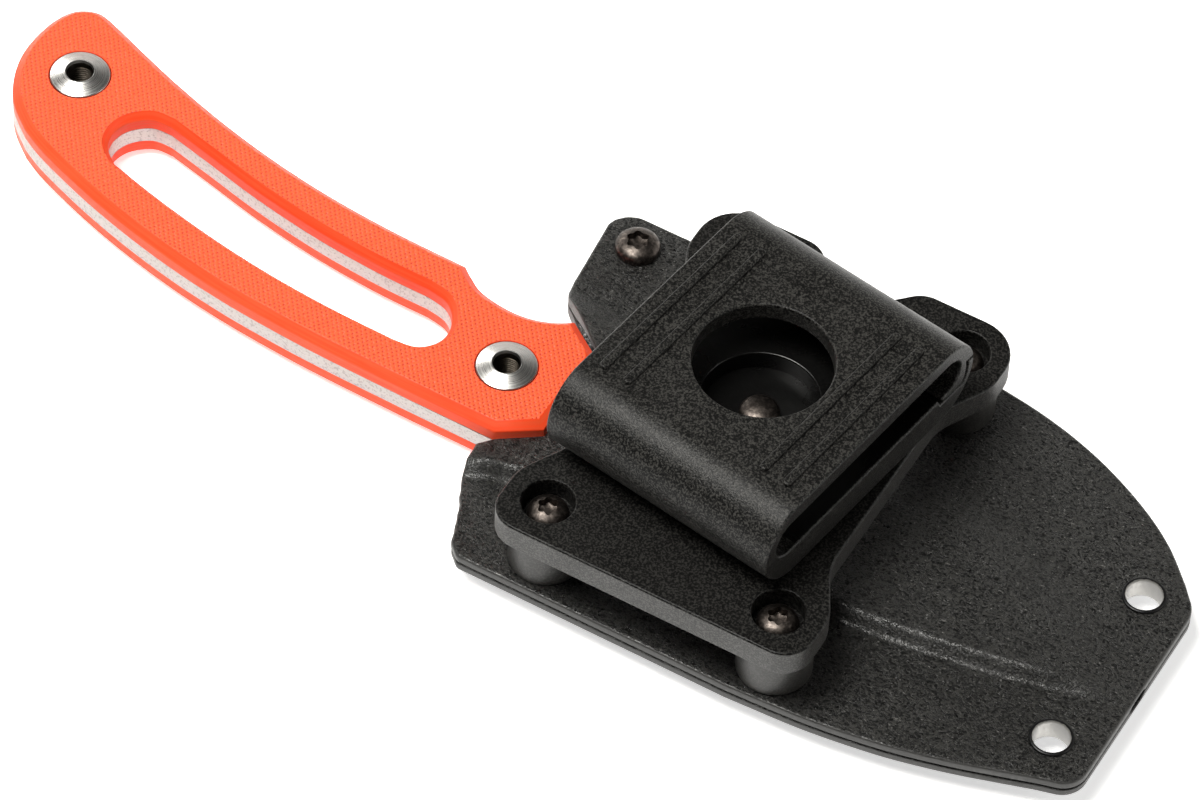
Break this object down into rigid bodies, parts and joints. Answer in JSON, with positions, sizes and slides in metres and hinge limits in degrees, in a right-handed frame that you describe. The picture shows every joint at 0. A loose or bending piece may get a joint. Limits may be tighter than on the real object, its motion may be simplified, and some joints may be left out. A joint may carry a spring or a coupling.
{
  "type": "rigging knife in a belt sheath",
  "caption": "Fixed-blade rigging knife with a slotted skeleton handle, in a two-shell sheath that carries a swivelling belt loop on a stand-off plate.",
  "frame": {"origin": "middle of the base of the whole sheathed knife's box", "axes": "+X from the butt to the sheath's tip, +Y towards the cutting edge, +Z from the sheath to the belt loop"},
  "size_m": [0.2162, 0.0752, 0.037],
  "materials": {
    "orange_laminate": "glass-epoxy laminate with a fine peel-ply texture and smooth machined chamfers",
    "satin_steel": "satin ground",
    "polished_steel": "polished turned",
    "sheath_plastic": "thermoformed sheet with a pebbled grain",
    "eyelet_metal": "black oxide, worn to grey metal inside",
    "plate_plastic": "machined laminate with a fine matte texture",
    "spacer_plastic": "satin turned",
    "loop_plastic": "moulded, fine spark texture",
    "dark_steel": "black oxide, rubbed"
  },
  "bodies": {
    "sheath": {"sheath_front_shell": "sheath_plastic", "sheath_back_shell": "sheath_plastic", "upper_eyelet": "eyelet_metal", "lower_eyelet": "eyelet_metal", "retention_screw": "dark_steel", "retention_nut": "dark_steel", "clip_plate": "plate_plastic", "spacer_1": "spacer_plastic", "plate_screw_1": "dark_steel", "plate_nut_1": "dark_steel", "spacer_2": "spacer_plastic", "plate_screw_2": "dark_steel", "plate_nut_2": "dark_steel", "spacer_3": "spacer_plastic", "plate_screw_3": "dark_steel", "plate_nut_3": "dark_steel", "spacer_4": "spacer_plastic", "plate_screw_4": "dark_steel", "plate_nut_4": "dark_steel", "swivel_screw": "dark_steel", "swivel_nut": "dark_steel"},
    "knife": {"blade": "satin_steel", "front_scale": "orange_laminate", "back_scale": "orange_laminate", "butt_sleeve_nut": "polished_steel", "butt_scale_screw": "polished_steel", "guard_sleeve_nut": "polished_steel", "guard_scale_screw": "polished_steel"},
    "belt_loop": {"loop_base": "loop_plastic"},
    "belt_loop_arm": {"loop_arm": "loop_plastic"}
  },
  "joints": [
    {"name": "knife_draw", "type": "slide", "parent": "sheath", "child": "knife", "axis": [-1, 0, 0], "range_m": [0, 0.105]},
    {"name": "loop_swivel", "type": "hinge", "parent": "sheath", "child": "belt_loop", "pos_m": [0.03715, -0.0002, 0.0206], "axis": [0, 0, 1], "continuous": true},
    {"name": "loop_arm_flex", "type": "hinge", "parent": "belt_loop", "child": "belt_loop_arm", "pos_m": [0.03323, -0.02641, 0.0285], "axis": [0.989, -0.1478, 0], "range_deg": [0, 12], "stiffness_Nm_per_rad": 2.5}
  ]
}
